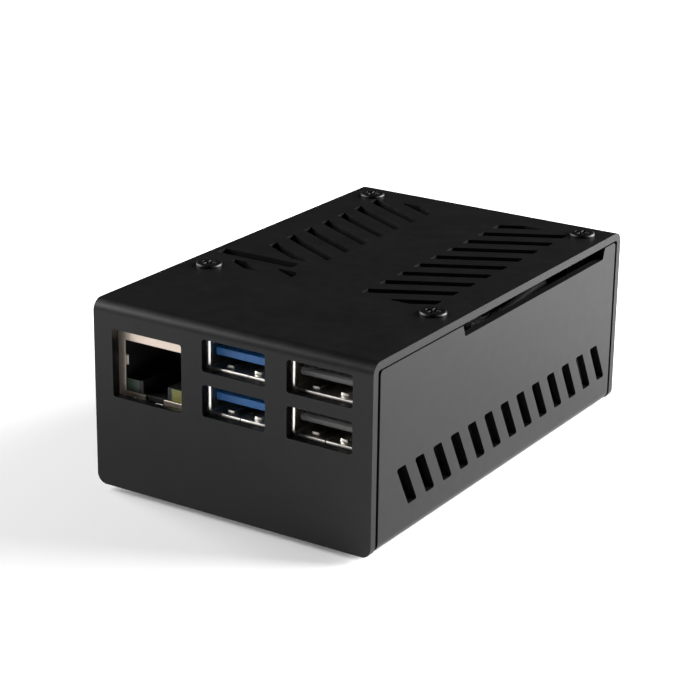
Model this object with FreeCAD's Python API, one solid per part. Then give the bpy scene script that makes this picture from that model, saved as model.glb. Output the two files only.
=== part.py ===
import FreeCAD, Part
import math
import os
from FreeCAD import Vector

# A single board computer in a two-part sheet-steel case.
# Frame: origin on the ground under the middle of the case, +Z up, millimetres.
# The socket panel faces -Y, the card slot and power button face +Y,
# the header side faces +X and the display and power sockets face -X.

# ---------------------------------------------------------------- driving dimensions
case_width = 59.4
case_length = 93.0
case_top = 36.7
foot_height = 1.1
foot_radius = 4.0
foot_spacing_x = 45.0
foot_spacing_y = 66.0
sheet = 1.5
bend_radius = 2.2
panel_corner_radius = 1.9
tray_corner_radius = 0.8
panel_gap = 0.8
seam_gap = 0.3
hole_corner_radius = 0.5

board_width = 56.0
board_length = 85.0
board_thickness = 1.4
board_top = 18.4
board_rear = 44.0
hole_inset = 4.4
hole_spacing_x = 49.0
hole_spacing_y = 58.0

thread_radius = 1.25
thread_clearance = 0.02
screw_hole_radius = 1.45
screw_head_radius = 2.5
screw_head_height = 0.6
base_screw_head_height = 0.8
recess_length = 2.8
recess_width = 0.7
recess_depth = 0.6
standoff_across_flats = 5.0
stud_length = 3.5
bore_depth = 6.0

usb_pitch = 17.9
usb_centre_x = 1.05
usb_window = (13.4, 6.0)
usb_cavity = (12.9, 5.3)
usb_low_z = 22.57
usb_high_z = 31.01
usb_face_y = -44.4
jack_centre_x = -18.3
jack_window_x = -17.86
jack_window = (15.4, 12.95)
jack_window_low_z = 18.95
jack_face_y = -43.8

vent_inner_x = 7.6
vent_outer_x = 22.4
vent_front_y = -16.3
vent_rear_y = 38.5
vent_rise = 8.0
vent_slot = 2.6
vent_pitch = 6.15
vent_first_y = -11.35
vent_count = 10
ribbon_slot_y = -9.5
ribbon_slot_width = 2.8
ribbon_slot_start_x = -28.0
ribbon_slot_end_x = -10.9
ribbon_slot_margin = 1.8
side_vent_count = 13
side_vent_pitch = 6.125
side_vent_first_y = -38.5
side_vent_width = 3.0
side_vent_lean = 4.2
side_vent_low_z = 7.1
side_vent_high_z = 15.0
notch_low_z = 32.7
notch_front_y = -17.0
notch_rear_y = 40.0
notch_slope = 1.2

cooler_base_z = 21.3
cooler_base_thickness = 1.5
blower_centre = (0.5, 19.5)
blower_size = 30.0
blower_corner_radius = 8.0
blower_top = 30.6

# ---------------------------------------------------------------- openings for the board's edge parts
power_button_across = 18.8
power_button_rise = 1.0
status_led_across = 13.6
status_led_rise = 0.5
button_hole_radius = 1.6
led_hole_radius = 1.0
card_window = (14.0, 2.5)
card_window_low_z = 14.3
socket_window_rise = 1.65
socket_window_radius = 1.2
usb_c_along = 11.5
usb_c_window = (11.0, 5.2)
hdmi_alongs = (25.8, 39.2)
hdmi_window = (8.6, 5.0)
vent_corner_radius = 0.3
side_vent_corner_radius = 0.4

# ---------------------------------------------------------------- pin header
pin_pitch = 2.54
pin_width = 0.64
header_columns = 20

# ---------------------------------------------------------------- derived places
half_width = case_width / 2
half_length = case_length / 2
body_bottom = foot_height
floor_z = body_bottom + sheet
ceiling_z = case_top - sheet
tray_half_length = half_length - sheet - panel_gap
tray_top = ceiling_z - seam_gap
board_bottom = board_top - board_thickness
hole_rear_y = board_rear - hole_inset
hole_places = [
    (side * hole_spacing_x / 2, hole_rear_y - row * hole_spacing_y)
    for side in (-1, 1)
    for row in (0, 1)
]
usb_centres = (usb_centre_x, usb_centre_x + usb_pitch)
header_x = hole_spacing_x / 2
header_y = hole_rear_y - hole_spacing_y / 2
cooler_top_z = cooler_base_z + cooler_base_thickness
push_pin_places = [(-15.7, 33.4), (16.2, -12.4)]
socket_windows = [(usb_c_along, usb_c_window)] + [(along, hdmi_window) for along in hdmi_alongs]
power_button_z = board_top + power_button_rise
status_led_z = board_top + status_led_rise
past = 1.0  # how far a cutting shape reaches beyond what it cuts
X = Vector(1, 0, 0)
Y = Vector(0, 1, 0)
Z = Vector(0, 0, 1)


# ---------------------------------------------------------------- shape helpers
def block(x0, x1, y0, y1, z0, z1):
    return Part.makeBox(x1 - x0, y1 - y0, z1 - z0, Vector(x0, y0, z0))


def centred(x, y, dx, dy, z0, z1):
    return block(x - dx / 2, x + dx / 2, y - dy / 2, y + dy / 2, z0, z1)


def rod(x, y, radius, z0, z1):
    return Part.makeCylinder(radius, z1 - z0, Vector(x, y, z0))


def prism(points, along):
    """Extrude a closed outline of vectors along a vector."""
    outline = Part.makePolygon(points + points[:1])
    return Part.Face(outline).extrude(along)


def prism_x(outline, x0, x1):
    return prism([Vector(x0, y, z) for y, z in outline], X * (x1 - x0))


def prism_z(outline, z0, z1):
    return prism([Vector(x, y, z0) for x, y in outline], Z * (z1 - z0))


def edges_along(shape, direction, keep=lambda centre: True):
    """Straight edges parallel to a direction whose middle passes the test."""
    found = []
    for edge in shape.Edges:
        if edge.Curve.TypeId != "Part::GeomLine":
            continue
        if edge.tangentAt(edge.FirstParameter).cross(direction).Length < 1e-6:
            if keep(edge.CenterOfMass):
                found.append(edge)
    return found


def rounded(shape, direction, radius, keep=lambda centre: True):
    return shape.makeFillet(radius, edges_along(shape, direction, keep))


def fused(shapes):
    return shapes[0].multiFuse(shapes[1:]).removeSplitter() if len(shapes) > 1 else shapes[0]


def hexagon(x, y, across_flats, z0, z1):
    corner = across_flats / math.sqrt(3)
    angles = [math.radians(60 * step) for step in range(6)]
    return prism_z([(x + corner * math.cos(a), y + corner * math.sin(a)) for a in angles], z0, z1)


def on_board(along, across):
    """Board drawing coordinates, from the card-end corner, to this frame."""
    return across - board_width / 2, board_rear - along


def chip(along, across, size_along, size_across, height, z0=board_top):
    x, y = on_board(along, across)
    return centred(x, y, size_across, size_along, z0, z0 + height)


def tube(points, radius):
    """Round tube along straight runs joined by tangent arcs."""
    edges = []
    start = points[0]
    for before, corner, after in zip(points, points[1:], points[2:]):
        run_in = corner - before
        run_out = after - corner
        half_turn = run_in.getAngle(run_out) / 2
        reach = 0.45 * min(run_in.Length, run_out.Length)
        bend = reach / math.tan(half_turn)
        arc_start = corner - run_in.normalize() * reach
        arc_end = corner + run_out.normalize() * reach
        inward = ((arc_start + arc_end) * 0.5 - corner).normalize()
        arc_middle = corner + inward * (bend / math.cos(half_turn) - bend)
        edges.append(Part.LineSegment(start, arc_start).toShape())
        edges.append(Part.Arc(arc_start, arc_middle, arc_end).toShape())
        start = arc_end
    edges.append(Part.LineSegment(start, points[-1]).toShape())
    section = Part.Wire([Part.makeCircle(radius, points[0], points[1] - points[0])])
    return Part.Wire(edges).makePipeShell([section], True, True)


def save(name, solids):
    shape = Part.makeCompound(solids) if isinstance(solids, list) else solids
    if not shape.isValid():
        print("not valid:", name)
    shape.exportStep("parts/" + name + ".step")


# ---------------------------------------------------------------- case sheets
def slanted_vent(outer_y, side):
    """One slot of the top pattern, clipped to the pattern's rectangle and kept off the ribbon slot."""
    x_in = side * vent_inner_x
    x_out = side * vent_outer_x
    inner_y = outer_y - vent_rise
    outline = [(x_in, inner_y - vent_slot), (x_out, outer_y - vent_slot), (x_out, outer_y), (x_in, inner_y)]
    through = (ceiling_z - past, case_top + past)
    slot = prism_z(outline, *through)
    low_x, high_x = sorted((x_in, x_out))
    slot = slot.common(block(low_x, high_x, vent_front_y, vent_rear_y, *through))
    if side < 0:
        half = ribbon_slot_width / 2 + ribbon_slot_margin
        slot = slot.cut(block(-half_width, 0, ribbon_slot_y - half, ribbon_slot_y + half, *through))
    widest = max(slot.Solids, key=lambda solid: solid.Volume)
    return rounded(widest, Z, vent_corner_radius)


def ribbon_slot():
    """Slot over the camera connectors, across the cover from close to its -X edge."""
    half = ribbon_slot_width / 2
    slot = block(ribbon_slot_start_x, ribbon_slot_end_x, ribbon_slot_y - half, ribbon_slot_y + half,
                 ceiling_z - past, case_top + past)
    return rounded(slot, Z, hole_corner_radius)


def side_vents(side):
    """The row of leaning slots low in one long side."""
    x0, x1 = sorted((side * (half_width - sheet - past), side * (half_width + past)))
    slots = []
    for step in range(side_vent_count):
        y = side_vent_first_y + step * side_vent_pitch
        outline = [
            (y, side_vent_high_z),
            (y + side_vent_width, side_vent_high_z),
            (y + side_vent_width + side_vent_lean, side_vent_low_z),
            (y + side_vent_lean, side_vent_low_z),
        ]
        slots.append(rounded(prism_x(outline, x0, x1), X, side_vent_corner_radius))
    return slots


def window_y(x, z_low, size, y0, y1, radius):
    """Rounded rectangular hole through a panel that faces along Y."""
    width, height = size
    return rounded(block(x - width / 2, x + width / 2, y0, y1, z_low, z_low + height), Y, radius)


def top_cover():
    cover = block(-half_width, half_width, -half_length, half_length, body_bottom, case_top)
    cover = rounded(cover, X, bend_radius, lambda c: c.z > case_top - 1e-3)
    inner_half = half_length - sheet
    wide = half_width + past
    hollow = block(-wide, wide, -inner_half, inner_half, body_bottom - past, ceiling_z)
    hollow = rounded(hollow, X, bend_radius - sheet, lambda c: c.z > ceiling_z - 1e-3)
    cover = cover.cut(hollow)
    cover = rounded(cover, Y, panel_corner_radius, lambda c: c.z < body_bottom + 1e-3)
    front = (-half_length - past, -inner_half + past)
    rear = (inner_half - past, half_length + past)
    holes = [ribbon_slot()]
    for x in usb_centres:
        for z in (usb_low_z, usb_high_z):
            holes.append(window_y(x, z - usb_window[1] / 2, usb_window, *front, hole_corner_radius))
    holes.append(window_y(jack_window_x, jack_window_low_z, jack_window, *front, hole_corner_radius))
    holes.append(window_y(0, card_window_low_z, card_window, *rear, hole_corner_radius))
    for across, radius, z in (
        (power_button_across, button_hole_radius, power_button_z),
        (status_led_across, led_hole_radius, status_led_z),
    ):
        x, _ = on_board(0, across)
        holes.append(Part.makeCylinder(radius, sheet + 2 * past, Vector(x, rear[0], z), Y))
    for x, y in hole_places:
        holes.append(rod(x, y, screw_hole_radius, ceiling_z - past, case_top + past))
    for side in (-1, 1):
        for step in range(vent_count):
            holes.append(slanted_vent(vent_first_y + step * vent_pitch, side))
    return cover.cut(Part.makeCompound(holes))


def base_tray():
    tray = block(-half_width, half_width, -tray_half_length, tray_half_length, body_bottom, tray_top)
    tray = rounded(tray, Y, bend_radius, lambda c: c.z < body_bottom + 1e-3)
    inner = half_width - sheet
    hollow = block(-inner, inner, -half_length, half_length, floor_z, tray_top + past)
    hollow = rounded(hollow, Y, bend_radius - sheet, lambda c: c.z < floor_z + 1e-3)
    tray = tray.cut(hollow)
    tray = rounded(tray, X, tray_corner_radius, lambda c: c.z > tray_top - 1e-3)
    outline = [
        (notch_front_y, tray_top + past),
        (notch_front_y + notch_slope, notch_low_z),
        (notch_rear_y - notch_slope, notch_low_z),
        (notch_rear_y, tray_top + past),
    ]
    notch = prism_x(outline, inner - past, half_width + past)
    holes = [rounded(notch, X, side_vent_corner_radius, lambda c: c.z < notch_low_z + 1e-3)]
    holes += side_vents(1) + side_vents(-1)
    for along, window in socket_windows:
        _, y = on_board(along, 0)
        width, height = window
        low = board_top + socket_window_rise - height / 2
        hole = block(-half_width - past, -inner + past, y - width / 2, y + width / 2, low, low + height)
        holes.append(rounded(hole, X, socket_window_radius))
    for x, y in hole_places:
        holes.append(rod(x, y, screw_hole_radius, body_bottom - past, floor_z + past))
    return tray.cut(Part.makeCompound(holes))


# ---------------------------------------------------------------- fasteners and feet
head_rounding = 0.75
foot_rounding = 0.5


def rims(shape, z):
    """Closed edges at one height."""
    return [edge for edge in shape.Edges if edge.Closed and abs(edge.CenterOfMass.z - z) < 1e-3]


def pan_screw(head_height, length):
    """Cross-recess screw with its seat at z 0, head up and shank down."""
    head = rod(0, 0, screw_head_radius, 0, head_height)
    head = head.makeFillet(head_height * head_rounding, rims(head, head_height))
    screw = head.fuse(rod(0, 0, thread_radius, -length, 0))
    arms = [
        centred(0, 0, dx, dy, -recess_depth, head_height + past)
        for dx, dy in ((recess_length, recess_width), (recess_width, recess_length))
    ]
    return screw.cut(arms[0].fuse(arms[1])).removeSplitter()


def placed(shape, x, y, z, upside_down=False):
    copy = shape.copy()
    if upside_down:
        copy.rotate(Vector(0, 0, 0), X, 180)
    copy.translate(Vector(x, y, z))
    return copy


def lower_standoff(x, y):
    body = hexagon(x, y, standoff_across_flats, floor_z, board_bottom)
    stud = rod(x, y, thread_radius, board_bottom, board_top + stud_length)
    bore = rod(x, y, thread_radius + thread_clearance, floor_z, floor_z + bore_depth)
    return body.fuse(stud).cut(bore).removeSplitter()


def upper_standoff(x, y):
    body = hexagon(x, y, standoff_across_flats, board_top, ceiling_z)
    bore_radius = thread_radius + thread_clearance
    low_bore = rod(x, y, bore_radius, board_top, board_top + stud_length + past)
    high_bore = rod(x, y, bore_radius, ceiling_z - bore_depth, ceiling_z)
    return body.cut(low_bore).cut(high_bore)


def rubber_foot(x, y):
    foot = rod(x, y, foot_radius, 0, foot_height)
    return foot.makeFillet(foot_rounding, rims(foot, 0))


# ---------------------------------------------------------------- circuit board and header
board_corner_radius = 3.0
standoff_hole_radius = 1.35
push_pin_hole_radius = 1.45
header_hole_radius = 0.5
header_pin_tail = 1.2
header_pin_rise = 8.5
header_pin_chamfer = 0.15


def header_pin_places():
    for column in range(header_columns):
        for row in (-0.5, 0.5):
            yield header_x + row * pin_pitch, header_y + (column - (header_columns - 1) / 2) * pin_pitch


def circuit_board():
    half, front = board_width / 2, board_rear - board_length
    board = block(-half, half, front, board_rear, board_bottom, board_top)
    board = rounded(board, Z, board_corner_radius)
    bores = (
        (hole_places, standoff_hole_radius),
        (push_pin_places, push_pin_hole_radius),
        (header_pin_places(), header_hole_radius),
    )
    low, high = board_bottom - past, board_top + past
    holes = [rod(x, y, radius, low, high) for places, radius in bores for x, y in places]
    return board.cut(Part.makeCompound(holes))


def header_base():
    length = header_columns * pin_pitch
    top = board_top + pin_pitch
    base = centred(header_x, header_y, 2 * pin_pitch, length, board_top, top)
    pins = [centred(x, y, pin_width, pin_width, board_top - past, top + past) for x, y in header_pin_places()]
    return base.cut(Part.makeCompound(pins))


def header_pin(x, y):
    top = board_top + header_pin_rise
    pin = centred(x, y, pin_width, pin_width, board_bottom - header_pin_tail, top)
    tips = [edge for edge in pin.Edges if edge.CenterOfMass.z > top - 1e-3]
    return pin.makeChamfer(header_pin_chamfer, tips)


# ---------------------------------------------------------------- USB stacks
wall = 0.3
fit = 0.05
lip_depth = 0.2
lip_flare = 0.3
lip_corner_gap = 0.1
sleeve_radius = 0.6
sleeve_rear_y = -36.5
seam_width = 0.12
finger_setback = 1.3
finger_height = 0.55
finger_flat = 1.6
finger_length = 3.4
finger_width = 1.4
finger_offset = 2.9
can_setback = 1.0
can_radius = 0.5
stack_half_width = 7.0
stack_rear_y = -27.0
stack_top = 34.3
tongue_width = 11.9
tongue_thickness = 1.5
tongue_drop = 1.85
tongue_front = usb_face_y + 1.2
pocket_rear_y = -35.0
carrier_setback = 1.9
contact_offsets = (-3.5, -1.0, 1.0, 3.5)
contact_width = 1.0
contact_thickness = 0.15
contact_setback = 1.2
fast_contact_setback = 3.2
fast_row_setback = 0.9
fast_row_pitch = 2.0
fast_row_count = 5
fast_row_width = 0.6
fast_row_length = 1.6


def flared_lips(x, z):
    """Four bent-out tabs round one mouth, with open corners."""
    w, h = usb_cavity[0] / 2, usb_cavity[1] / 2
    back = usb_face_y + lip_depth
    lips = []
    for sign in (-1, 1):
        edge = z + sign * h
        outline = [
            (back, edge),
            (usb_face_y, edge + sign * lip_flare),
            (usb_face_y, edge + sign * (lip_flare + wall)),
            (back, edge + sign * wall),
        ]
        lips.append(prism_x(outline, x - w + lip_corner_gap, x + w - lip_corner_gap))
        side = x + sign * w
        outline = [
            (side, back),
            (side + sign * lip_flare, usb_face_y),
            (side + sign * (lip_flare + wall), usb_face_y),
            (side + sign * wall, back),
        ]
        lips.append(prism_z(outline, z - h + lip_corner_gap, z + h - lip_corner_gap))
    return lips


def spring_finger(x, z):
    """Contact spring with an upright front, standing on the floor of one mouth."""
    root = z - usb_cavity[1] / 2
    start = usb_face_y + finger_setback
    outline = [
        (start, root),
        (start, root + finger_height),
        (start + finger_flat, root + finger_height),
        (start + finger_length, root),
    ]
    return prism_x(outline, x - finger_width / 2, x + finger_width / 2)


def mouth_tube(x, z, seam):
    """Bent sheet sleeve of one mouth with its lips and springs."""
    w, h = usb_cavity[0] / 2, usb_cavity[1] / 2
    back = usb_face_y + lip_depth
    outer = block(x - w - wall, x + w + wall, back, sleeve_rear_y, z - h - wall, z + h + wall)
    inner = block(x - w, x + w, back - past, sleeve_rear_y + past, z - h, z + h)
    sleeve = rounded(outer, Y, sleeve_radius).cut(rounded(inner, Y, sleeve_radius - wall))
    springs = [spring_finger(x + offset, z) for offset in (-finger_offset, finger_offset)]
    sleeve = fused([sleeve] + flared_lips(x, z) + springs)
    if seam:
        low = z - h - wall - lip_flare - past
        cut_length = 2 * (sleeve_rear_y - usb_face_y + past)
        sleeve = sleeve.cut(centred(x, usb_face_y, seam_width, cut_length, low, z - h))
    return sleeve


def usb_shell(x):
    """Outer can of one stack and the two sleeves that line its mouths."""
    front = usb_face_y + can_setback
    inside = stack_half_width - wall
    can = block(x - stack_half_width, x + stack_half_width, front, stack_rear_y, board_top, stack_top)
    can = rounded(can, Y, can_radius, lambda c: c.z > stack_top - 1e-3)
    hollow = block(x - inside, x + inside, front - past, stack_rear_y - wall,
                   board_top - past, stack_top - wall)
    return [can.cut(hollow), mouth_tube(x, usb_low_z, True), mouth_tube(x, usb_high_z, False)]


def tongue_low(z):
    return z + usb_cavity[1] / 2 - tongue_drop - tongue_thickness


def usb_insulator(x):
    """Black carrier that holds both sleeves and both tongues."""
    inside = stack_half_width - wall - fit
    front, rear = usb_face_y + carrier_setback, stack_rear_y - wall - fit
    body = block(x - inside, x + inside, front, rear, board_top, stack_top - wall - fit)
    w, h = usb_cavity[0] / 2, usb_cavity[1] / 2
    for z in (usb_low_z, usb_high_z):
        sleeve = block(x - w - wall, x + w + wall, usb_face_y - past, sleeve_rear_y,
                       z - h - wall, z + h + wall)
        pocket = block(x - w, x + w, sleeve_rear_y - past, pocket_rear_y, z - h, z + h)
        body = body.cut(rounded(sleeve, Y, sleeve_radius)).cut(pocket)
    return body


def usb_tongue(x, z, chamfer):
    low = tongue_low(z)
    half = tongue_width / 2
    tongue = block(x - half, x + half, tongue_front, pocket_rear_y, low, low + tongue_thickness)
    front = edges_along(tongue, X, lambda c: c.y < tongue_front + 1e-3)
    return tongue.makeChamfer(chamfer, front)


def usb_contacts(x, z, fast):
    """Flat contacts under one tongue, with the extra short row of the fast type."""
    top = tongue_low(z)
    low = top - contact_thickness
    front = tongue_front + (fast_contact_setback if fast else contact_setback)
    middle_y, length = (front + pocket_rear_y) / 2, pocket_rear_y - front
    contacts = [centred(x + offset, middle_y, contact_width, length, low, top) for offset in contact_offsets]
    if fast:
        row_y = tongue_front + fast_row_setback + fast_row_length / 2
        for step in range(fast_row_count):
            row_x = x + (step - (fast_row_count - 1) / 2) * fast_row_pitch
            contacts.append(centred(row_x, row_y, fast_row_width, fast_row_length, low, top))
    return contacts


# ---------------------------------------------------------------- network socket
jack_half_width = 8.0
jack_rear_y = -22.5
jack_top = 31.9
jack_radius = 0.6
plug_half_width = 6.5
plug_low_z = 21.9
plug_high_z = 29.2
plug_rear_y = -31.5
latch_low_z = 19.4
latch_half_width = 2.75
notch_half_width = 2.05
lens_inner = 3.6
lens_length = 5.0
lens_rounding = 0.25
side_tab_length = 0.7
side_tab_low_z = 24.5
side_tab_high_z = 26.4
side_tab_rounding = 0.1
jack_wire_count = 8
jack_wire_pitch = 1.016
jack_wire_width = 0.36
jack_wire_thickness = 0.2
jack_wire_front_y = -38.8
jack_wire_rear_y = -33.6
jack_wire_tip_z = 26.7
jack_front = jack_face_y + wall + 0.02


def jack_shell():
    x = jack_centre_x
    can = block(x - jack_half_width, x + jack_half_width, jack_face_y, jack_rear_y, board_top, jack_top)
    can = rounded(can, Y, jack_radius, lambda c: c.z > jack_top - 1e-3)
    inside = jack_half_width - wall
    low = board_top - past
    hollow = block(x - inside, x + inside, jack_face_y + wall, jack_rear_y - wall, low, jack_top - wall)
    plate = (jack_face_y - past, jack_face_y + past)
    mouth = block(x - plug_half_width, x + plug_half_width, *plate, latch_low_z, plug_high_z)
    notch = block(x - notch_half_width, x + notch_half_width, *plate, low, latch_low_z + past)
    edge = x - plug_half_width
    tab = block(edge, edge + side_tab_length, jack_face_y, jack_face_y + wall,
                side_tab_low_z, side_tab_high_z)
    return fused([can.cut(hollow).cut(mouth).cut(notch), rounded(tab, Z, side_tab_rounding)])


def jack_lens_blocks():
    outer = plug_half_width - fit
    for sign in (-1, 1):
        x0, x1 = sorted((jack_centre_x + sign * outer, jack_centre_x + sign * lens_inner))
        yield block(x0, x1, jack_front, jack_front + lens_length, latch_low_z, plug_low_z - 2 * fit)


def jack_insulator():
    x = jack_centre_x
    inside = jack_half_width - wall - fit
    rear = jack_rear_y - wall - fit
    front = jack_front - past
    body = block(x - inside, x + inside, jack_front, rear, board_top, jack_top - wall - fit)
    plug = block(x - plug_half_width, x + plug_half_width, front, plug_rear_y, plug_low_z, plug_high_z)
    latch = block(x - latch_half_width, x + latch_half_width, front, plug_rear_y,
                  latch_low_z, plug_low_z + past)
    body = body.cut(plug).cut(latch)
    return body.cut(Part.makeCompound(list(jack_lens_blocks())))


def jack_wire(step):
    """One springy wire sloping down from the ceiling of the plug cavity."""
    x = jack_centre_x + (step - (jack_wire_count - 1) / 2) * jack_wire_pitch
    outline = [
        (jack_wire_front_y, plug_high_z),
        (jack_wire_front_y + 2 * jack_wire_thickness, plug_high_z),
        (jack_wire_rear_y + jack_wire_thickness, jack_wire_tip_z + jack_wire_thickness),
        (jack_wire_rear_y, jack_wire_tip_z),
    ]
    return prism_x(outline, x - jack_wire_width / 2, x + jack_wire_width / 2)


# ---------------------------------------------------------------- sockets on the -X edge
edge_mouth_x = -29.2
edge_blade_setback = 0.6
usb_c_width = 8.94
usb_c_height = 3.16
usb_c_radius = 1.5
usb_c_rear_x = -21.8
usb_c_blade = (6.6, 0.7)
hdmi_half_width = 3.2
hdmi_height = 3.3
hdmi_corner = 0.9
hdmi_rear_x = -21.0
hdmi_blade = (4.2, 0.6)
hdmi_blade_rise = 1.9
mitre = math.tan(math.radians(22.5))


def usb_c_shell():
    _, y = on_board(usb_c_along, 0)
    half, top = usb_c_width / 2, board_top + usb_c_height
    outer = block(edge_mouth_x, usb_c_rear_x, y - half, y + half, board_top, top)
    inner = block(edge_mouth_x - past, usb_c_rear_x - 2 * wall,
                  y - half + wall, y + half - wall, board_top + wall, top - wall)
    return rounded(outer, X, usb_c_radius).cut(rounded(inner, X, usb_c_radius - wall))


def hdmi_profile(y, low, grow):
    """Socket outline with drawn-in lower corners, grown on every side."""
    half, top = hdmi_half_width + grow, low + hdmi_height + grow
    shoulder, foot = low + hdmi_corner - grow * mitre, half - hdmi_corner
    return [
        (y - half, top),
        (y - half, shoulder),
        (y - foot, low - grow),
        (y + foot, low - grow),
        (y + half, shoulder),
        (y + half, top),
    ]


def hdmi_shell(along):
    _, y = on_board(along, 0)
    low = board_top + wall
    outer = prism_x(hdmi_profile(y, low, wall), edge_mouth_x, hdmi_rear_x)
    return outer.cut(prism_x(hdmi_profile(y, low, 0), edge_mouth_x - past, hdmi_rear_x - 2 * wall))


def edge_blade(along, size, middle, rear_x):
    """Contact blade of one edge socket, from behind its mouth to its back wall."""
    _, y = on_board(along, 0)
    half_width, half_thickness = size[0] / 2, size[1] / 2
    return block(edge_mouth_x + edge_blade_setback, rear_x - 2 * wall,
                 y - half_width, y + half_width, middle - half_thickness, middle + half_thickness)


# ---------------------------------------------------------------- ribbon connectors
ribbon_height = 3.6
ribbon_depth = 2.8
ribbon_gap = 0.45
ribbon_gap_shift = 0.2
ribbon_gap_floor = 1.0
ribbon_end_wall = 1.2
latch_bar = 0.9
latch_depth = 2.6
latch_gap = 0.6
latch_play = 0.03
latch_ear = 0.9
latch_ear_depth = 1.6
latch_ear_drop = 1.8


def ribbon_body(along, across, length):
    """Upright ribbon connector with a slot along its top."""
    x, y = on_board(along, across)
    top = board_top + ribbon_height
    body = centred(x, y, length, ribbon_depth, board_top, top)
    low, opening = board_top + ribbon_gap_floor, length - 2 * ribbon_end_wall
    return body.cut(centred(x, y - ribbon_gap_shift, opening, ribbon_gap, low, top + past))


def ribbon_latch(along, across, length):
    """Lift-up bar that straddles the connector and clamps the ribbon."""
    x, y = on_board(along, across)
    low = board_top + ribbon_height + latch_play
    top = low + latch_bar
    bar = centred(x, y, length + 2 * (latch_ear + latch_play), latch_depth, low, top)
    opening = length - 2 * ribbon_end_wall
    pieces = [bar.cut(centred(x, y - ribbon_gap_shift, opening, latch_gap, low - past, top + past))]
    for sign in (-1, 1):
        ear_x = x + sign * (length / 2 + latch_play + latch_ear / 2)
        pieces.append(centred(ear_x, y, latch_ear, latch_ear_depth, low - latch_ear_drop, low))
    return fused(pieces)


# ---------------------------------------------------------------- card, button and lamp
card_half_width = 5.5
card_inner_y = 31.0
card_outer_y = 46.0
card_low = 15.7
card_high = 16.45
card_radius = 0.7
card_play = 0.06
card_socket_half_width = 6.6
card_socket_inner_y = 29.4
card_socket_outer_y = 43.2
card_socket_low = 15.2
thumb_radius = 3.0
thumb_y = 43.9
ridge_half_width = 4.8
ridge_length = 1.0
ridge_inset = 0.2
ridge_height = 0.25
button_travel = 0.25
button_play = 0.05
button_half_width = 2.4
button_height = 2.1
button_inner_y = 40.6
button_outer_y = 44.0
button_pocket_y = 42.0
plunger_half_width = 1.3
plunger_half_height = 0.6
plunger_end_y = 44.4
nose_radius = 1.0
nose_end_y = 45.9
led_half_width = 0.8
led_height = 1.0
led_inner_y = 42.6
led_outer_y = 44.2
led_lens_radius = 0.45


def card_socket():
    half = card_socket_half_width
    body = block(-half, half, card_socket_inner_y, card_socket_outer_y, card_socket_low, board_bottom)
    slot_half = card_half_width + card_play
    slot = block(-slot_half, slot_half, card_inner_y - card_play, card_outer_y,
                 card_low - card_play, card_high + card_play)
    thumb = rod(0, thumb_y, thumb_radius, card_socket_low - past, card_low)
    return body.cut(slot).cut(thumb)


def memory_card():
    card = block(-card_half_width, card_half_width, card_inner_y, card_outer_y, card_low, card_high)
    end = card_outer_y - ridge_inset
    ridge = block(-ridge_half_width, ridge_half_width, end - ridge_length, end,
                  card_low - ridge_height, card_low)
    return rounded(card, Z, card_radius).fuse(ridge).removeSplitter()


def power_button_body():
    x, _ = on_board(0, power_button_across)
    body = block(x - button_half_width, x + button_half_width, button_inner_y, button_outer_y,
                 board_top, board_top + button_height)
    w, h = plunger_half_width + button_play, plunger_half_height + button_play
    low, high = power_button_z - h, power_button_z + h
    return body.cut(block(x - w, x + w, button_pocket_y, button_outer_y + past, low, high))


def power_button_plunger():
    x, _ = on_board(0, power_button_across)
    w, h = plunger_half_width, plunger_half_height
    start = button_pocket_y + button_travel + button_play
    plunger = block(x - w, x + w, start, plunger_end_y, power_button_z - h, power_button_z + h)
    nose_start = Vector(x, plunger_end_y, power_button_z)
    nose = Part.makeCylinder(nose_radius, nose_end_y - plunger_end_y, nose_start, Y)
    return plunger.fuse(nose).removeSplitter()


def status_led():
    x, _ = on_board(0, status_led_across)
    lamp = block(x - led_half_width, x + led_half_width, led_inner_y, led_outer_y,
                 board_top, board_top + led_height)
    return lamp.fuse(Part.makeSphere(led_lens_radius, Vector(x, led_outer_y, status_led_z)))


# ---------------------------------------------------------------- small parts on the board
lead_pitch = 1.0
lead_end = 0.8
lead_depth = 2.9
lead_wall = 0.4
lead_floor = 0.8
lead_pin_width = 0.35
lead_pin_drop = 0.4
coil_radius_at_corners = 0.4
coil_size = (3.6, 3.6, 1.9)
crystal_size = (3.2, 2.5, 0.75)
crystal_radius = 0.3
capacitor = (1.0, 1.1, 0.55)
resistor = (0.9, 1.5, 0.5)
poe_place = (62.0, 12.6)
poe_base_height = 2.2
poe_pin_height = 6.0


def wire_socket(along, across, ways, height):
    """Small upright lead connector with an open pocket and pins."""
    x, y = on_board(along, across)
    length = ways * lead_pitch + 2 * lead_end
    floor, top = board_top + lead_floor, board_top + height
    body = centred(x, y, lead_depth, length, board_top, top)
    pocket = centred(x, y, lead_depth - 2 * lead_wall, length - 2 * lead_wall, floor, top + past)
    first_y, pin_top = y - (ways - 1) / 2 * lead_pitch, top - lead_pin_drop
    pins = [
        centred(x, first_y + step * lead_pitch, lead_pin_width, lead_pin_width, floor, pin_top)
        for step in range(ways)
    ]
    return fused([body.cut(pocket)] + pins)


def chip_line(count, along, across, step_along, step_across, size, z0=board_top):
    """Equal small chips at even steps along a straight line."""
    return [chip(along + step * step_along, across + step * step_across, *size, z0) for step in range(count)]


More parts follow.
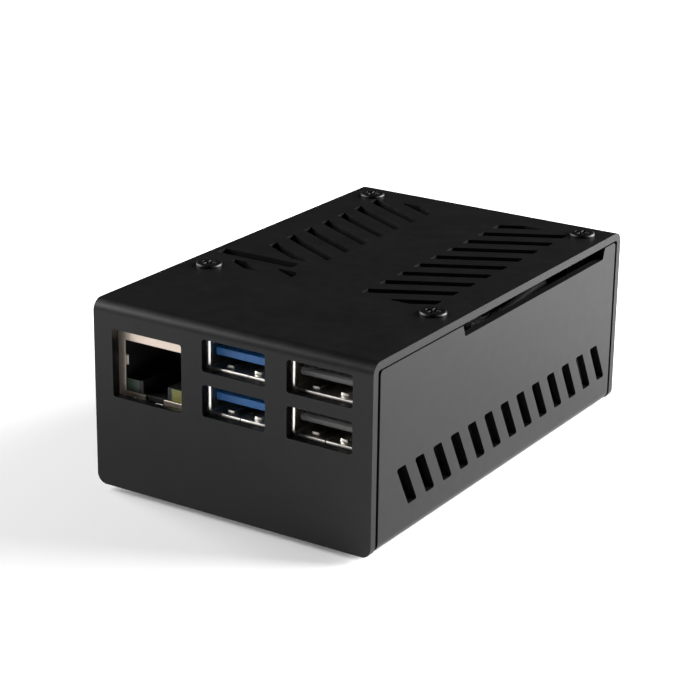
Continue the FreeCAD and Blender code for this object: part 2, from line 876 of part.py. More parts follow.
def passive_field():
    """Lines of capacitors and resistors round the large chips, the last two under the board."""
    pieces = chip_line(9, 17.6, 18.0, 0, 2.2, capacitor)
    pieces += chip_line(9, 40.8, 18.0, 0, 2.2, capacitor)
    pieces += chip_line(7, 20.5, 40.6, 2.6, 0, capacitor)
    pieces += chip_line(7, 20.5, 43.2, 2.6, 0, capacitor)
    pieces += chip_line(6, 53.2, 41.2, 1.9, 0, resistor)
    pieces += chip_line(4, 19.4, 5.0, 0, 1.7, capacitor)
    pieces += chip_line(5, 46.0, 21.5, 0, 3.4, resistor, board_bottom - resistor[2])
    pieces += chip_line(5, 24.0, 24.0, 3.1, 0, capacitor, board_bottom - capacitor[2])
    return pieces


def poe_pins():
    x, y = on_board(*poe_place)
    half = pin_pitch / 2
    return [
        centred(x + dx, y + dy, pin_width, pin_width, board_top, board_top + poe_pin_height)
        for dx in (-half, half)
        for dy in (-half, half)
    ]


def poe_base():
    x, y = on_board(*poe_place)
    base = centred(x, y, 2 * pin_pitch, 2 * pin_pitch, board_top, board_top + poe_base_height)
    return base.cut(Part.makeCompound(poe_pins()))


# ---------------------------------------------------------------- cooler
plate_left_x = -18.0
plate_right_x = 19.0
plate_rear_y = 36.0
plate_radius = 1.5
arm_left_x = -8.4
arm_front_y = -15.2
fin_pitch = 2.2
fin_thickness = 0.7
fin_first_x = -7.0
fin_front_y = -14.6
fin_rear_y = 3.4
fin_count = 10
fin_top = 30.2
fin_radius = 1.0
plate_bore_radius = 1.5
pin_head_radius = 2.4
pin_head_low = 27.2
pin_head_top = 28.3
pin_head_rounding = 0.4
pin_shaft_radius = 1.3
barb_low = 15.6
barb_height = 1.3
barb_tip_radius = 1.0
barb_radius = 1.75
spring_wire_radius = 0.2
spring_radius = 1.85
spring_pitch = 0.95
spring_height = 3.8
spring_gap = 0.02
blower_wall = 1.0
blower_floor = 0.8
blower_cover_thickness = 0.8
intake_radius = 10.2
outlet_left = 8.2
outlet_right = 9.0
outlet_margin = 0.4
boss_radius = 2.6
boss_height = 1.1
shaft_radius = 1.0
shaft_top = 28.4
shaft_play = 0.04
wheel_low = 24.3
disc_radius = 12.3
disc_thickness = 0.6
hub_radius = 7.4
hub_top = 29.6
hub_rounding = 0.6
blade_count = 21
blade_radii = (7.2, 9.8, 12.2)
blade_half_thickness = 0.22
blade_sweep = math.radians(26)
blade_middle = 0.62
blade_low = 24.8
blade_top = 29.9


def heatsink():
    plate = block(plate_left_x, plate_right_x, 0, plate_rear_y, cooler_base_z, cooler_top_z)
    arm = block(arm_left_x, plate_right_x, arm_front_y, 0, cooler_base_z, cooler_top_z)
    plate = rounded(fused([plate, arm]), Z, plate_radius)
    fins = []
    for step in range(fin_count):
        x = fin_first_x + step * fin_pitch
        fin = block(x, x + fin_thickness, fin_front_y, fin_rear_y, cooler_top_z, fin_top)
        fins.append(rounded(fin, X, fin_radius, lambda c: c.z > fin_top - 1e-3))
    low, high = cooler_base_z - past, cooler_top_z + past
    holes = [rod(x, y, plate_bore_radius, low, high) for x, y in push_pin_places]
    return fused([plate] + fins).cut(Part.makeCompound(holes))


def push_pin(x, y):
    """Sprung plastic pin with a barbed tip under the board."""
    head = rod(x, y, pin_head_radius, pin_head_low, pin_head_top)
    head = head.makeFillet(pin_head_rounding, rims(head, pin_head_top))
    shaft = rod(x, y, pin_shaft_radius, barb_low + barb_height / 2, pin_head_low)
    barb = Part.makeCone(barb_tip_radius, barb_radius, barb_height, Vector(x, y, barb_low))
    return fused([head, shaft, barb])


def push_pin_spring(x, y):
    helix = Part.makeHelix(spring_pitch, spring_height, spring_radius)
    section = Part.Wire([Part.makeCircle(spring_wire_radius, Vector(spring_radius, 0, 0), Y)])
    coil = Part.Wire(helix.Edges).makePipeShell([section], True, True)
    coil.translate(Vector(x, y, cooler_top_z + spring_wire_radius + spring_gap))
    return coil


def blower_outline(grow, z0, z1):
    x, y = blower_centre
    size = blower_size + 2 * grow
    return rounded(centred(x, y, size, size, z0, z1), Z, blower_corner_radius + grow)


def blower_housing():
    x, y = blower_centre
    floor = cooler_top_z + blower_floor
    shell = blower_outline(0, cooler_top_z, blower_top)
    shell = shell.cut(blower_outline(-blower_wall, floor, blower_top + past))
    front = y - blower_size / 2
    shell = shell.cut(block(x - outlet_left, x + outlet_right, front - past, front + blower_corner_radius,
                            floor, blower_top - outlet_margin))
    boss = rod(x, y, boss_radius, cooler_top_z, cooler_top_z + boss_height)
    return fused([shell, boss]).cut(rod(x, y, shaft_radius, cooler_top_z, blower_top))


def blower_cover():
    top = blower_top + blower_cover_thickness
    intake = rod(*blower_centre, intake_radius, blower_top - past, top + past)
    return blower_outline(0, blower_top, top).cut(intake)


def blade(angle):
    """One curved blade as a strip between two arcs."""
    def arc(sign):
        points = []
        for part, radius in zip((0, blade_middle, 1), blade_radii):
            turn = math.radians(angle) + blade_sweep * part + sign * blade_half_thickness / radius
            points.append(Vector(radius * math.cos(turn), radius * math.sin(turn), blade_low))
        return points

    one, two = arc(-1), arc(1)
    edges = [
        Part.Arc(*one).toShape(),
        Part.LineSegment(one[2], two[2]).toShape(),
        Part.Arc(two[2], two[1], two[0]).toShape(),
        Part.LineSegment(two[0], one[0]).toShape(),
    ]
    return Part.Face(Part.Wire(edges)).extrude(Z * (blade_top - blade_low))


def impeller():
    disc = rod(0, 0, disc_radius, wheel_low, wheel_low + disc_thickness)
    hub = rod(0, 0, hub_radius, wheel_low, hub_top)
    hub = hub.makeFillet(hub_rounding, rims(hub, hub_top))
    wheel = fused([disc, hub] + [blade(step * 360 / blade_count) for step in range(blade_count)])
    wheel = wheel.cut(rod(0, 0, shaft_radius + shaft_play, wheel_low - past, shaft_top + shaft_play))
    wheel.translate(Vector(*blower_centre, 0))
    return wheel


# ---------------------------------------------------------------- fan lead
fan_socket_place = (63.4, 45.6)
fan_socket_height = 2.9
fan_socket_ways = 4
fan_plug_size = (1.9, 4.4)
fan_plug_low = board_top + 2.95
fan_plug_top = board_top + 5.2
fan_plug_radius = 0.2
lead_radius = 0.75
lead_exit_angle = math.radians(30)
lead_exit_z = 27.0
lead_exit_run = 3.9
lead_drop_z = 26.9


def fan_plug():
    x, y = on_board(*fan_socket_place)
    return rounded(centred(x, y, *fan_plug_size, fan_plug_low, fan_plug_top), Z, fan_plug_radius)


def fan_lead():
    """Sleeved lead from the blower's rear corner, beside the header, to its plug."""
    out = Vector(math.cos(lead_exit_angle), math.sin(lead_exit_angle), 0)
    inset = blower_size / 2 - blower_corner_radius
    corner = Vector(blower_centre[0] + inset, blower_centre[1] + inset, lead_exit_z)
    start = corner + out * blower_corner_radius
    x, y = on_board(*fan_socket_place)
    route = [
        start,
        start + out * lead_exit_run,
        Vector(20.9, 31.4, 28.3),
        Vector(21.3, 26.0, 28.7),
        Vector(20.9, 16.0, 27.2),
        Vector(20.6, 5.0, 25.9),
        Vector(20.4, -6.0, 26.0),
        Vector(19.5, -14.0, 27.1),
        Vector(x, y, lead_drop_z),
        Vector(x, y, fan_plug_top),
    ]
    return tube(route, lead_radius)


# ---------------------------------------------------------------- chips and pads
processor_place = (29.2, 27.5)
package_size = (20.0, 20.0, 1.0)
lid_size = (16.0, 16.0, 1.2)
lid_radius = 1.0
memory_place = (47.2, 29.5)
memory_size = (9.6, 12.4, 1.0)
controller_place = (60.6, 31.0)
controller_size = (13.0, 13.0, 1.2)
controller_pad_place = (56.6, 31.0)
controller_pad_size = (5.0, 13.0)
power_chip_place = (11.6, 21.6)
power_chip_size = (7.0, 7.0, 0.9)
network_chip_place = (61.0, 20.4)
network_chip_size = (6.0, 6.0, 0.85)
wireless_place = (11.8, 41.2)
wireless_size = (11.0, 10.0, 1.6)
wireless_radius = 0.6


def thermal_pad(place, size, low):
    """Soft pad that fills the gap between a chip and the cooler's plate."""
    return chip(*place, *size, cooler_base_z - low, low)


def write_case():
    save("top_cover", top_cover())
    save("base_tray", base_tray())
    cover_screw = pan_screw(screw_head_height, cover_screw_length)
    save("cover_screws", [placed(cover_screw, x, y, case_top) for x, y in hole_places])
    base_screw = pan_screw(base_screw_head_height, base_screw_length)
    save("base_screws", [placed(base_screw, x, y, body_bottom, True) for x, y in hole_places])
    save("lower_standoffs", [lower_standoff(x, y) for x, y in hole_places])
    save("upper_standoffs", [upper_standoff(x, y) for x, y in hole_places])
    save("rubber_feet", [rubber_foot(x, y) for x, y in foot_places])


def write_sockets():
    for label, x, fast in (("usb3", usb_centres[0], True), ("usb2", usb_centres[1], False)):
        heights = (usb_low_z, usb_high_z)
        chamfer = fast_tongue_chamfer if fast else tongue_chamfer
        save(label + "_shell", usb_shell(x))
        save(label + "_insulator", usb_insulator(x))
        save(label + "_tongues", [usb_tongue(x, z, chamfer) for z in heights])
        save(label + "_contacts", [piece for z in heights for piece in usb_contacts(x, z, fast)])
    save("network_shell", jack_shell())
    save("network_insulator", jack_insulator())
    save("network_lenses", [rounded(lens, Y, lens_rounding) for lens in jack_lens_blocks()])
    save("network_contacts", [jack_wire(step) for step in range(jack_wire_count)])
    save("usb_c_shell", usb_c_shell())
    save("display_shells", [hdmi_shell(along) for along in hdmi_alongs])
    blades = [edge_blade(usb_c_along, usb_c_blade, board_top + usb_c_height / 2, usb_c_rear_x)]
    hdmi_middle = board_top + hdmi_blade_rise
    blades += [edge_blade(along, hdmi_blade, hdmi_middle, hdmi_rear_x) for along in hdmi_alongs]
    save("edge_socket_tongues", blades)
    for label, place in ribbon_places.items():
        save(label, ribbon_body(*place))
        save(label + "_latch", ribbon_latch(*place))


def write_board():
    save("circuit_board", circuit_board())
    save("header_base", header_base())
    save("header_pins", [header_pin(x, y) for x, y in header_pin_places()])
    save("card_socket", card_socket())
    save("memory_card", memory_card())
    save("power_button_body", power_button_body())
    save("power_button_plunger", power_button_plunger())
    save("status_led", status_led())
    save("processor_package", chip(*processor_place, *package_size))
    lid = chip(*processor_place, *lid_size, board_top + package_size[2])
    save("processor_lid", rounded(lid, Z, lid_radius))
    save("memory_chip", chip(*memory_place, *memory_size))
    save("controller_chip", chip(*controller_place, *controller_size))
    support_chips = [chip(*power_chip_place, *power_chip_size), chip(*network_chip_place, *network_chip_size)]
    save("support_chips", support_chips)
    save("wireless_can", rounded(chip(*wireless_place, *wireless_size), Z, wireless_radius))
    lead_sockets = [wire_socket(*place, ways, small_lead_height) for place, ways in small_lead_places]
    save("small_lead_sockets", lead_sockets)
    save("fan_socket", wire_socket(*fan_socket_place, fan_socket_ways, fan_socket_height))
    save("inductors", [rounded(chip(*place, *coil_size), Z, coil_radius_at_corners) for place in coil_places])
    save("crystals", [rounded(chip(*place, *crystal_size), Z, crystal_radius) for place in crystal_places])
    save("chip_passives", passive_field())
    save("power_over_network_base", poe_base())
    save("power_over_network_pins", poe_pins())


def write_cooler():
    save("heatsink", heatsink())
    pads = [
        thermal_pad(processor_place, lid_size[:2], board_top + package_size[2] + lid_size[2]),
        thermal_pad(controller_pad_place, controller_pad_size, board_top + controller_size[2]),
        thermal_pad(power_chip_place, power_chip_size[:2], board_top + power_chip_size[2]),
    ]
    save("thermal_pads", pads)
    save("push_pins", [push_pin(x, y) for x, y in push_pin_places])
    save("push_pin_springs", [push_pin_spring(x, y) for x, y in push_pin_places])
    save("blower_housing", blower_housing())
    save("blower_cover", blower_cover())
    save("blower_impeller", impeller())
    save("blower_shaft", rod(*blower_centre, shaft_radius, cooler_top_z, shaft_top))
    save("fan_plug", fan_plug())
    save("fan_lead", fan_lead())


# ---------------------------------------------------------------- write every piece
cover_screw_length = 5.5
base_screw_length = 6.0
foot_places = [(side * foot_spacing_x / 2, end * foot_spacing_y / 2) for side in (-1, 1) for end in (-1, 1)]
tongue_chamfer = 0.38
fast_tongue_chamfer = 0.12
camera_ribbon_length = 11.6
expansion_ribbon_length = 9.0
ribbon_places = {
    "camera_connector_1": (47.5, 9.2, camera_ribbon_length),
    "camera_connector_2": (54.3, 9.2, camera_ribbon_length),
    "expansion_connector": (3.9, 31.0, expansion_ribbon_length),
}
small_lead_height = 3.0
small_lead_places = [((19.4, 2.0), 2), ((32.5, 2.0), 3)]
coil_places = [(6.4, 13.6), (14.0, 13.6), (20.0, 13.6), (53.8, 20.4)]
crystal_places = [(44.0, 39.5), (67.4, 40.6), (36.0, 13.4)]

os.makedirs("parts", exist_ok=True)
write_case()
write_board()
write_sockets()
write_cooler()
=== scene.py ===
import math
import bpy
from mathutils import Matrix, Vector


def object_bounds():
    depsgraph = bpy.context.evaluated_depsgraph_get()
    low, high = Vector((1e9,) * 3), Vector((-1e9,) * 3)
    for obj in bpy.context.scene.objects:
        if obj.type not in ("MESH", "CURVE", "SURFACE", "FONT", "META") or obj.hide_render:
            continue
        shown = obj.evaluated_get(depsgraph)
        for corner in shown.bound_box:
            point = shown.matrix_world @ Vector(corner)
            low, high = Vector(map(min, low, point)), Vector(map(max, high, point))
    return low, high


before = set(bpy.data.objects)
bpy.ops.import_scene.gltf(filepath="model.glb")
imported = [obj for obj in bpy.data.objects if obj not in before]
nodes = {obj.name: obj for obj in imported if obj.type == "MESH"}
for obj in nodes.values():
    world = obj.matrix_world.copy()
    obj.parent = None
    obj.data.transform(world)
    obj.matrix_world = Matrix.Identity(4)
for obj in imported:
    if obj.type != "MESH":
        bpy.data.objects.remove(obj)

cad_low, cad_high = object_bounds()
MM = 0.001

# ------------------------------------------------------------------ camera
CAMERA_AZIMUTH = math.radians(32.365)
CAMERA_ELEVATION = math.radians(20.058)
CAMERA_ROLL = math.radians(0.811)
CAMERA_PLACE = Vector((205.07, -330.65, 161.2)) * MM
CAMERA_LENS_MM = 110.84
CAMERA_SENSOR_MM = 36
NEAREST_SEEN = 0.01
FARTHEST_SEEN = 20


def make_camera():
    """Camera at the photograph's viewing angle, facing the socket panel and the notched side."""
    a, e = CAMERA_AZIMUTH, CAMERA_ELEVATION
    back = Vector((math.sin(a) * math.cos(e), -math.cos(a) * math.cos(e), math.sin(e)))
    level = Vector((math.cos(a), math.sin(a), 0))
    up = back.cross(level)
    right = level * math.cos(CAMERA_ROLL) + up * math.sin(CAMERA_ROLL)
    top = up * math.cos(CAMERA_ROLL) - level * math.sin(CAMERA_ROLL)
    data = bpy.data.cameras.new("camera")
    data.lens = CAMERA_LENS_MM
    data.sensor_width = CAMERA_SENSOR_MM
    data.clip_start = NEAREST_SEEN
    data.clip_end = FARTHEST_SEEN
    camera = bpy.data.objects.new("camera", data)
    bpy.context.scene.collection.objects.link(camera)
    turn = Matrix((right, top, back)).transposed().to_4x4()
    camera.matrix_world = Matrix.Translation(CAMERA_PLACE) @ turn
    bpy.context.scene.camera = camera


# ------------------------------------------------------------------ node helpers
NO_STRETCH = (1, 1, 1)
NOISE_LOW = 0.25
NOISE_HIGH = 0.75


class Shader:
    """A material's node tree with short calls for the nodes that every material uses."""

    def __init__(self, name):
        self.material = bpy.data.materials.new(name)
        self.material.use_nodes = True
        self.tree = self.material.node_tree
        self.tree.nodes.clear()
        output = self.add("OutputMaterial")
        self.surface = self.add("BsdfPrincipled")
        self.link(self.surface.outputs["BSDF"], output.inputs["Surface"])
        self.place = self.add("TexCoord").outputs["Object"]

    def add(self, kind):
        return self.tree.nodes.new("ShaderNode" + kind)

    def link(self, source, target):
        self.tree.links.new(source, target)

    def set(self, **values):
        """Fixed surface values, each under its socket's name with underscores for spaces."""
        for name, value in values.items():
            self.surface.inputs[name.replace("_", " ")].default_value = value
        return self

    def mapped(self, scale, turn=(0, 0, 0)):
        """The piece's own coordinates, scaled and then turned."""
        mapping = self.add("Mapping")
        mapping.inputs["Scale"].default_value = scale
        mapping.inputs["Rotation"].default_value = turn
        self.link(self.place, mapping.inputs["Vector"])
        return mapping.outputs["Vector"]

    def noise(self, size_mm, detail, stretch=NO_STRETCH):
        """Noise with features of about size_mm; stretch lengthens them along an axis."""
        noise = self.add("TexNoise")
        noise.inputs["Scale"].default_value = 1.0
        noise.inputs["Detail"].default_value = detail
        self.link(self.mapped([1 / MM / size_mm / s for s in stretch]), noise.inputs["Vector"])
        return noise.outputs["Fac"]

    def ramp(self, source, stops):
        """Colour ramp from (position, colour) stops."""
        ramp = self.add("ValToRGB")
        elements = ramp.color_ramp.elements
        while len(elements) < len(stops):
            elements.new(0.5)
        for element, (position, colour) in zip(elements, stops):
            element.position = position
            element.color = (*colour, 1)
        self.link(source, ramp.inputs["Fac"])
        return ramp.outputs["Color"]

    def span(self, source, low, high, source_low=NOISE_LOW, source_high=NOISE_HIGH):
        """Map a value to the range from low to high; noise mostly lies in the default source range."""
        node = self.add("MapRange")
        limits = {"From Min": source_low, "From Max": source_high, "To Min": low, "To Max": high}
        for name, value in limits.items():
            node.inputs[name].default_value = value
        self.link(source, node.inputs["Value"])
        return node.outputs["Result"]

    def colour(self, output):
        self.link(output, self.surface.inputs["Base Color"])

    def mottle(self, dark, light, size_mm, detail, margin=0.3):
        """Base colour that drifts between two shades in patches of about size_mm."""
        stops = [(margin, dark), (1 - margin, light)]
        self.colour(self.ramp(self.noise(size_mm, detail), stops))

    def rough(self, source, low, high):
        self.link(self.span(source, low, high), self.surface.inputs["Roughness"])

    def bump(self, source, depth_mm, strength):
        """Bump of a real depth; a second call stacks on the first."""
        bump = self.add("Bump")
        bump.inputs["Distance"].default_value = depth_mm * MM
        bump.inputs["Strength"].default_value = strength
        self.link(source, bump.inputs["Height"])
        normal = self.surface.inputs["Normal"]
        if normal.is_linked:
            self.link(normal.links[0].from_socket, bump.inputs["Normal"])
        self.link(bump.outputs["Normal"], normal)


def shades(colour, spread):
    """A darker and a lighter version of a colour."""
    return [tuple(c * k for c in colour) for k in (1 - spread, 1 + spread)]


# ------------------------------------------------------------------ materials
def powder_coat():
    """Black powder coat: a fine grain over a broader swell."""
    s = Shader("powder_coat").set(IOR=1.5, Specular_IOR_Level=0.24)
    s.mottle(*shades((0.0045, 0.0045, 0.0048), spread=0.15), size_mm=9.0, detail=4)
    s.rough(s.noise(size_mm=2.5, detail=4), low=0.34, high=0.40)
    s.bump(s.noise(size_mm=0.9, detail=2), depth_mm=0.012, strength=0.35)
    s.bump(s.noise(size_mm=0.22, detail=3), depth_mm=0.006, strength=0.45)
    return s.material


def plastic(name, colour, rough, grain_mm=0.15, depth_mm=0.004):
    """Moulded plastic with a surface grain."""
    s = Shader(name).set(IOR=1.48)
    s.mottle(*shades(colour, spread=0.1), size_mm=1.8, detail=3)
    s.rough(s.noise(size_mm=0.7, detail=3), low=rough - 0.06, high=rough + 0.08)
    s.bump(s.noise(size_mm=grain_mm, detail=2), depth_mm=depth_mm, strength=0.5)
    return s.material


def sheet_metal(name, colour, rough):
    """Plated sheet with fine drawn lines along X."""
    drawn = (6, 1, 1)
    s = Shader(name).set(Metallic=1.0)
    s.mottle(*shades(colour, spread=0.04), size_mm=2.4, detail=3)
    s.rough(s.noise(size_mm=0.6, detail=3, stretch=drawn), low=rough - 0.03, high=rough + 0.05)
    s.bump(s.noise(size_mm=0.2, detail=2, stretch=drawn), depth_mm=0.0008, strength=0.4)
    return s.material


def turned_metal(name, colour, rough):
    """Machined or plated fastener metal with small scuffs."""
    s = Shader(name).set(Metallic=1.0)
    s.mottle(*shades(colour, spread=0.2), size_mm=0.8, detail=5, margin=0.35)
    s.rough(s.noise(size_mm=0.4, detail=4), low=rough - 0.08, high=rough + 0.12)
    s.bump(s.noise(size_mm=0.12, detail=3), depth_mm=0.003, strength=0.4)
    return s.material


def rubber():
    """Matt black rubber."""
    s = Shader("foot_rubber").set(IOR=1.45)
    s.mottle((0.012, 0.012, 0.012), (0.02, 0.02, 0.02), size_mm=0.8, detail=4)
    s.rough(s.noise(size_mm=0.4, detail=4), low=0.7, high=0.88)
    s.bump(s.noise(size_mm=0.18, detail=3), depth_mm=0.012, strength=0.5)
    return s.material


def laminate():
    """Green solder mask over copper: faint raised tracks at 45 degrees under a glossy film."""
    track_length_mm = 5.2
    track_pitch_mm = 0.62
    track_gap_mm = 0.12
    s = Shader("board_laminate").set(IOR=1.52, Coat_Weight=0.35, Coat_Roughness=0.12)
    brick = s.add("TexBrick")
    brick.inputs["Scale"].default_value = 1.0
    brick.inputs["Mortar Size"].default_value = track_gap_mm
    brick.inputs["Brick Width"].default_value = track_length_mm
    brick.inputs["Row Height"].default_value = track_pitch_mm
    s.link(s.mapped([1 / MM] * 3, turn=(0, 0, math.radians(45))), brick.inputs["Vector"])
    tracks = brick.outputs["Fac"]
    s.colour(s.ramp(tracks, [(0.0, (0.006, 0.062, 0.026)), (1.0, (0.010, 0.105, 0.042))]))
    s.rough(s.noise(size_mm=1.2, detail=3), low=0.26, high=0.4)
    s.bump(tracks, depth_mm=0.03, strength=0.4)
    s.bump(s.noise(size_mm=0.3, detail=3), depth_mm=0.004, strength=0.4)
    return s.material


def gold():
    """Thin bright plating on contacts and pins."""
    s = Shader("contact_gold").set(Metallic=1.0)
    s.mottle((0.78, 0.52, 0.2), (0.9, 0.68, 0.32), size_mm=0.5, detail=3)
    s.rough(s.noise(size_mm=0.3, detail=3), low=0.2, high=0.34)
    s.bump(s.noise(size_mm=0.1, detail=2), depth_mm=0.001, strength=0.4)
    return s.material


def lens(name, left, right):
    """Tinted lenses: one colour on the -X side of the network socket's middle, another beyond it."""
    across = [vertex.co.x for vertex in nodes["network_lenses"].data.vertices]
    middle = (min(across) + max(across)) / 2
    s = Shader(name).set(IOR=1.49, Transmission_Weight=0.3)
    axes = s.add("SeparateXYZ")
    s.link(s.place, axes.inputs["Vector"])
    side = s.span(axes.outputs["X"], 0, 1, source_low=middle - MM, source_high=middle + MM)
    s.colour(s.ramp(side, [(0.0, left), (1.0, right)]))
    s.rough(s.noise(size_mm=0.6, detail=3), low=0.3, high=0.45)
    s.bump(s.noise(size_mm=0.35, detail=2), depth_mm=0.006, strength=0.4)
    return s.material


def brushed_aluminium():
    """Extruded aluminium with brush lines along Y."""
    s = Shader("cooler_aluminium").set(Metallic=1.0)
    s.mottle((0.66, 0.67, 0.69), (0.78, 0.79, 0.8), size_mm=1.5, detail=4)
    s.rough(s.noise(size_mm=0.2, detail=4, stretch=(1, 14, 1)), low=0.26, high=0.42)
    s.bump(s.noise(size_mm=0.07, detail=3, stretch=(1, 18, 1)), depth_mm=0.003, strength=0.6)
    return s.material


def chip_ceramic():
    """Fired bodies with paler tinned patches."""
    s = Shader("chip_ceramic").set(IOR=1.5)
    body, rim, tinned = (0.3, 0.19, 0.1), (0.42, 0.34, 0.24), (0.6, 0.6, 0.58)
    stops = [(0.4, body), (0.52, rim), (0.6, tinned)]
    s.colour(s.ramp(s.noise(size_mm=1.1, detail=1), stops))
    s.rough(s.noise(size_mm=0.5, detail=3), low=0.3, high=0.5)
    s.bump(s.noise(size_mm=0.15, detail=2), depth_mm=0.004, strength=0.4)
    return s.material


def floor_paper():
    """White background paper, lifted a little by its own glow."""
    s = Shader("floor_paper").set(IOR=1.4, Specular_IOR_Level=0.2)
    s.set(Emission_Color=(1, 1, 1, 1), Emission_Strength=0.1)
    s.mottle((0.93, 0.93, 0.93), (0.945, 0.945, 0.945), size_mm=400, detail=2)
    s.rough(s.noise(size_mm=60, detail=2), low=0.8, high=0.9)
    return s.material


def finishes():
    """Each material with the nodes that wear it."""
    return [
        (powder_coat(),
         ["top_cover", "base_tray"]),
        (turned_metal("screw_steel", (0.028, 0.028, 0.029), rough=0.38),
         ["cover_screws", "base_screws"]),
        (turned_metal("standoff_black", (0.05, 0.05, 0.05), rough=0.36),
         ["lower_standoffs", "upper_standoffs"]),
        (rubber(),
         ["rubber_feet"]),
        (laminate(),
         ["circuit_board"]),
        (sheet_metal("network_steel", (0.68, 0.58, 0.5), rough=0.42),
         ["network_shell"]),
        (sheet_metal("socket_steel", (0.8, 0.77, 0.72), rough=0.3),
         ["usb3_shell", "usb2_shell", "usb_c_shell", "display_shells", "wireless_can", "card_socket",
          "power_button_body"]),
        (plastic("socket_plastic", (0.012, 0.012, 0.013), rough=0.5),
         ["header_base", "usb3_insulator", "usb2_insulator", "network_insulator", "edge_socket_tongues",
          "power_over_network_base", "camera_connector_1", "camera_connector_2", "expansion_connector",
          "power_button_plunger"]),
        (plastic("usb3_blue", (0.010, 0.11, 0.33), rough=0.4),
         ["usb3_tongues"]),
        (plastic("usb2_grey", (0.09, 0.09, 0.09), rough=0.4),
         ["usb2_tongues"]),
        (gold(),
         ["header_pins", "usb3_contacts", "usb2_contacts", "network_contacts", "power_over_network_pins"]),
        (lens("lamp_lens", left=(0.05, 0.085, 0.055), right=(0.24, 0.24, 0.05)),
         ["network_lenses", "status_led"]),
        (plastic("latch_plastic", (0.17, 0.1, 0.055), rough=0.42),
         ["camera_connector_1_latch", "camera_connector_2_latch", "expansion_connector_latch"]),
        (plastic("white_nylon", (0.78, 0.77, 0.72), rough=0.4, grain_mm=0.25, depth_mm=0.003),
         ["push_pins", "small_lead_sockets", "fan_socket", "fan_plug"]),
        (plastic("card_plastic", (0.014, 0.014, 0.016), rough=0.3, grain_mm=0.4, depth_mm=0.002),
         ["memory_card"]),
        (plastic("chip_resin", (0.02, 0.02, 0.022), rough=0.5, grain_mm=0.1, depth_mm=0.006),
         ["processor_package", "memory_chip", "controller_chip", "support_chips", "inductors"]),
        (turned_metal("lid_metal", (0.6, 0.6, 0.62), rough=0.3),
         ["processor_lid", "crystals"]),
        (chip_ceramic(),
         ["chip_passives"]),
        (brushed_aluminium(),
         ["heatsink"]),
        (plastic("pad_silicone", (0.3, 0.34, 0.42), rough=0.7, grain_mm=0.2, depth_mm=0.01),
         ["thermal_pads"]),
        (turned_metal("spring_steel", (0.5, 0.5, 0.52), rough=0.25),
         ["push_pin_springs", "blower_shaft"]),
        (plastic("blower_plastic", (0.018, 0.018, 0.02), rough=0.4, grain_mm=0.3, depth_mm=0.006),
         ["blower_housing", "blower_cover", "blower_impeller"]),
        (plastic("lead_sleeve", (0.006, 0.006, 0.006), rough=0.7),
         ["fan_lead"]),
    ]


# ------------------------------------------------------------------ CAD nodes' edges
# Bevel width in millimetres, with the nodes whose edges are rolled by it.
SOFT_EDGES_MM = {
    0.05: ["cover_screws", "base_screws"],
    0.06: ["circuit_board", "network_shell", "blower_impeller", "processor_package"],
    0.08: ["memory_card", "camera_connector_1", "camera_connector_2", "expansion_connector",
           "camera_connector_1_latch", "camera_connector_2_latch", "expansion_connector_latch"],
    0.09: ["usb3_shell", "usb2_shell"],
    0.1: ["usb3_tongues", "usb2_tongues", "network_insulator", "network_lenses", "heatsink", "push_pins",
          "processor_lid"],
    0.12: ["lower_standoffs", "upper_standoffs", "header_base", "blower_housing", "blower_cover"],
}
WELD_DISTANCE = 1e-6
FLAT_ANGLE = math.radians(0.4)
SHARP_ANGLE = math.radians(35)
BEVEL_SEGMENTS = 2
FACE_WEIGHT = 60


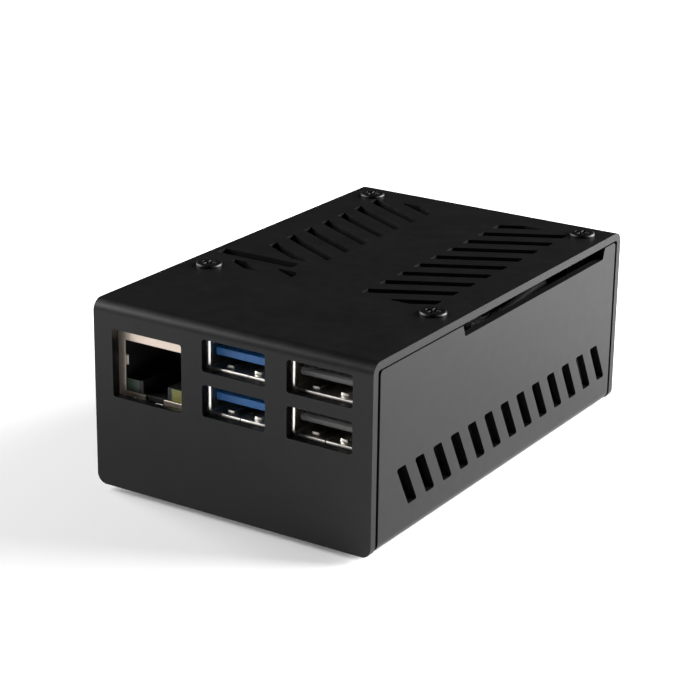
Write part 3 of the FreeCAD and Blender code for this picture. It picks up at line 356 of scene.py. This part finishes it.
def soften(obj, width_mm):
    """Rolled edges by modifiers only, so the CAD mesh itself stays as it is."""
    weld = obj.modifiers.new("weld", "WELD")
    weld.merge_threshold = WELD_DISTANCE
    flat = obj.modifiers.new("flat", "DECIMATE")
    flat.decimate_type = "DISSOLVE"
    flat.angle_limit = FLAT_ANGLE
    bevel = obj.modifiers.new("bevel", "BEVEL")
    bevel.width = width_mm * MM
    bevel.segments = BEVEL_SEGMENTS
    bevel.limit_method = "ANGLE"
    bevel.angle_limit = SHARP_ANGLE
    bevel.use_clamp_overlap = False
    normals = obj.modifiers.new("normals", "WEIGHTED_NORMAL")
    normals.keep_sharp = False
    normals.weight = FACE_WEIGHT


# ------------------------------------------------------------------ light and floor
FLOOR_WIDTH = 12
SKY_STRENGTH = 0.012
WHITE = (1, 1, 1, 1)


def softbox(name, azimuth, elevation, distance, size, power):
    """Rectangular lamp that faces the origin.

    The azimuth turns from +X towards +Y, and both angles are in degrees.
    """
    a, e = math.radians(azimuth), math.radians(elevation)
    towards = Vector((math.cos(a) * math.cos(e), math.sin(a) * math.cos(e), math.sin(e)))
    data = bpy.data.lights.new(name, "AREA")
    data.shape = "RECTANGLE"
    data.size, data.size_y = size
    data.energy = power
    light = bpy.data.objects.new(name, data)
    bpy.context.scene.collection.objects.link(light)
    light.location = towards * distance
    light.rotation_mode = "QUATERNION"
    light.rotation_quaternion = towards.to_track_quat("Z", "Y")


def make_stage():
    """White floor, a softbox on each side and a faint even sky."""
    bpy.ops.mesh.primitive_plane_add(size=FLOOR_WIDTH, location=(0, 0, cad_low.z))
    floor = bpy.context.object
    floor.name = "floor"
    floor.data.materials.append(floor_paper())
    softbox("left_softbox", azimuth=196, elevation=24, distance=0.75, size=(0.7, 0.5), power=10.6)
    softbox("right_softbox", azimuth=47, elevation=19, distance=1.1, size=(1.0, 0.6), power=53)
    world = bpy.data.worlds.new("studio")
    bpy.context.scene.world = world
    world.use_nodes = True
    background = world.node_tree.nodes["Background"]
    background.inputs["Color"].default_value = WHITE
    background.inputs["Strength"].default_value = SKY_STRENGTH
    bpy.context.scene.view_settings.view_transform = "Standard"


# ------------------------------------------------------------------ build
make_camera()
for material, names in finishes():
    for name in names:
        obj = nodes[name]
        obj.data.materials.clear()
        obj.data.materials.append(material)
for width_mm, names in SOFT_EDGES_MM.items():
    for name in names:
        soften(nodes[name], width_mm)
make_stage()
